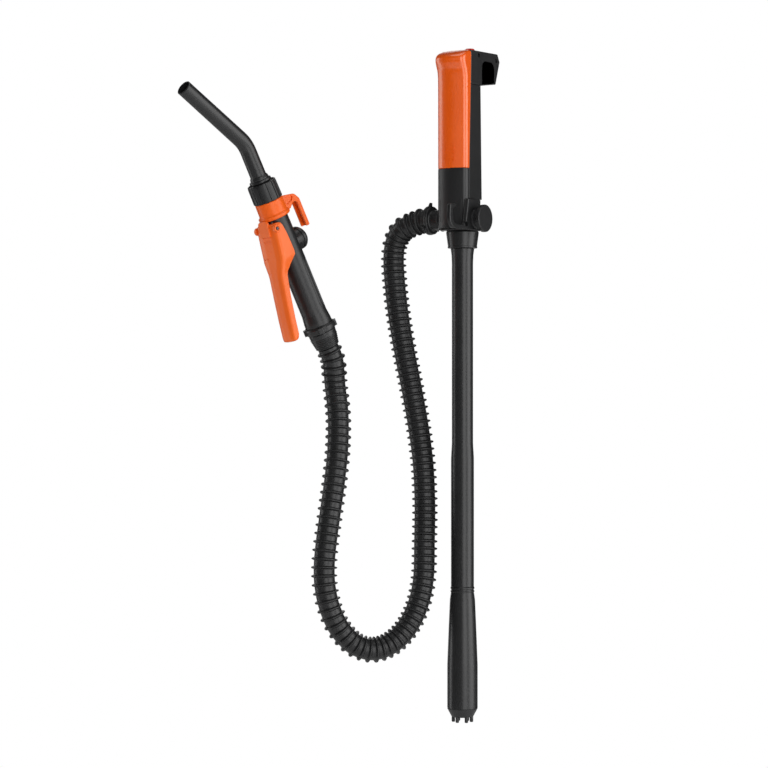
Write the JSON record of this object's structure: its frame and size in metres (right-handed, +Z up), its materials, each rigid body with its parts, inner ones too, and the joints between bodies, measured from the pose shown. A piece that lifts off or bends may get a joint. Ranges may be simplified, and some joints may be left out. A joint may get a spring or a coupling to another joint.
{
  "type": "hand-held transfer pump",
  "caption": "Battery-powered stick pump with a hanging hook, a ribbed hose and a trigger nozzle, for moving fuel or bilge water on a boat.",
  "frame": {"origin": "centre of the flat underside of the hanging hook's saddle on the pump's head, where it rests on a rail or a can's rim", "axes": "+Z up along the suction tube; +X towards the side knob and bracket; +Y the way the hanging hook's lip lies, behind the tube; the battery cover faces -Y"},
  "size_m": [0.2749, 0.3849, 0.901],
  "materials": {
    "black_plastic": "moulded, satin",
    "orange_plastic": "moulded, semi-gloss",
    "red_plastic": "moulded, semi-gloss",
    "hose_plastic": "blow-moulded corrugated hose, satin",
    "black_rubber": "moulded",
    "steel": "bright",
    "brass": "stamped",
    "cell_jacket": "foil jacket, plain",
    "white_plastic": "moulded"
  },
  "bodies": {
    "pump": {"intake_cap": "black_plastic", "intake_strainer": "black_plastic", "motor_housing": "black_plastic", "motor_mount": "black_plastic", "motor_can": "steel", "shaft_seal": "black_rubber", "suction_tube": "black_plastic", "tube_collar": "black_plastic", "wire_conduit": "black_rubber", "outlet_chamber": "black_plastic", "housing_left": "black_plastic", "housing_right": "black_plastic", "hanger_head": "black_plastic", "head_screw_1": "steel", "head_screw_2": "steel", "switch_body": "black_rubber", "front_cover": "black_plastic", "battery_lower": "cell_jacket", "battery_upper": "cell_jacket", "battery_cradle": "black_plastic", "contact_plate": "brass", "contact_spring": "steel", "side_bracket": "black_plastic", "outlet_socket": "black_plastic", "hose_flange": "hose_plastic", "hose": "hose_plastic", "hose_cuff": "black_plastic"},
    "battery_cover": {"battery_cover": "orange_plastic"},
    "power_button": {"power_button": "red_plastic"},
    "side_knob": {"side_knob": "black_plastic", "valve_plug": "white_plastic"},
    "rotor": {"motor_shaft": "steel", "impeller": "white_plastic"},
    "nozzle": {"swivel_ring": "black_plastic", "grip_body": "black_plastic", "valve_bonnet": "black_plastic", "pivot_pin": "steel", "hook_ring": "orange_plastic", "outlet_neck": "black_plastic", "spout_seal": "black_rubber", "spout": "black_plastic"},
    "union_nut": {"union_nut": "black_plastic"},
    "lever": {"lever": "orange_plastic"},
    "valve_stem": {"valve_stem": "steel", "valve_spring": "steel"}
  },
  "joints": [
    {"name": "power_button_press", "type": "slide", "parent": "pump", "child": "power_button", "axis": [0, 0, -1], "range_m": [0, 0.002], "stiffness_N_per_m": 800, "springref_m": -0.001},
    {"name": "battery_cover_pull", "type": "slide", "parent": "pump", "child": "battery_cover", "axis": [0, -1, 0], "range_m": [0, 0.045]},
    {"name": "side_knob_turn", "type": "hinge", "parent": "pump", "child": "side_knob", "pos_m": [0.035, -0.04075, -0.211], "axis": [1, 0, 0], "range_deg": [0, 90]},
    {"name": "rotor_spin", "type": "hinge", "parent": "pump", "child": "rotor", "pos_m": [0, -0.02875, -0.851], "axis": [0, 0, 1], "continuous": true},
    {"name": "nozzle_swivel", "type": "hinge", "parent": "pump", "child": "nozzle", "pos_m": [-0.14952, -0.14326, -0.35973], "axis": [-0.1658, -0.4083, 0.8976], "continuous": true},
    {"name": "union_nut_turn", "type": "hinge", "parent": "nozzle", "child": "union_nut", "pos_m": [-0.18297, -0.22561, -0.17867], "axis": [-0.1658, -0.4083, 0.8976], "continuous": true},
    {"name": "lever_squeeze", "type": "hinge", "parent": "nozzle", "child": "lever", "pos_m": [-0.17894, -0.22577, -0.22902], "axis": [0.9719, -0.2221, 0.0785], "range_deg": [0, 12], "stiffness_Nm_per_rad": 0.8, "springref_deg": -20.05},
    {"name": "valve_lift", "type": "slide", "parent": "nozzle", "child": "valve_stem", "axis": [0.1673, 0.8854, 0.4337], "range_m": [0, 0.0065]}
  ],
  "couplings": [
    {"joint": "valve_lift", "follows": "lever_squeeze", "m_per_rad": 0.0302}
  ]
}
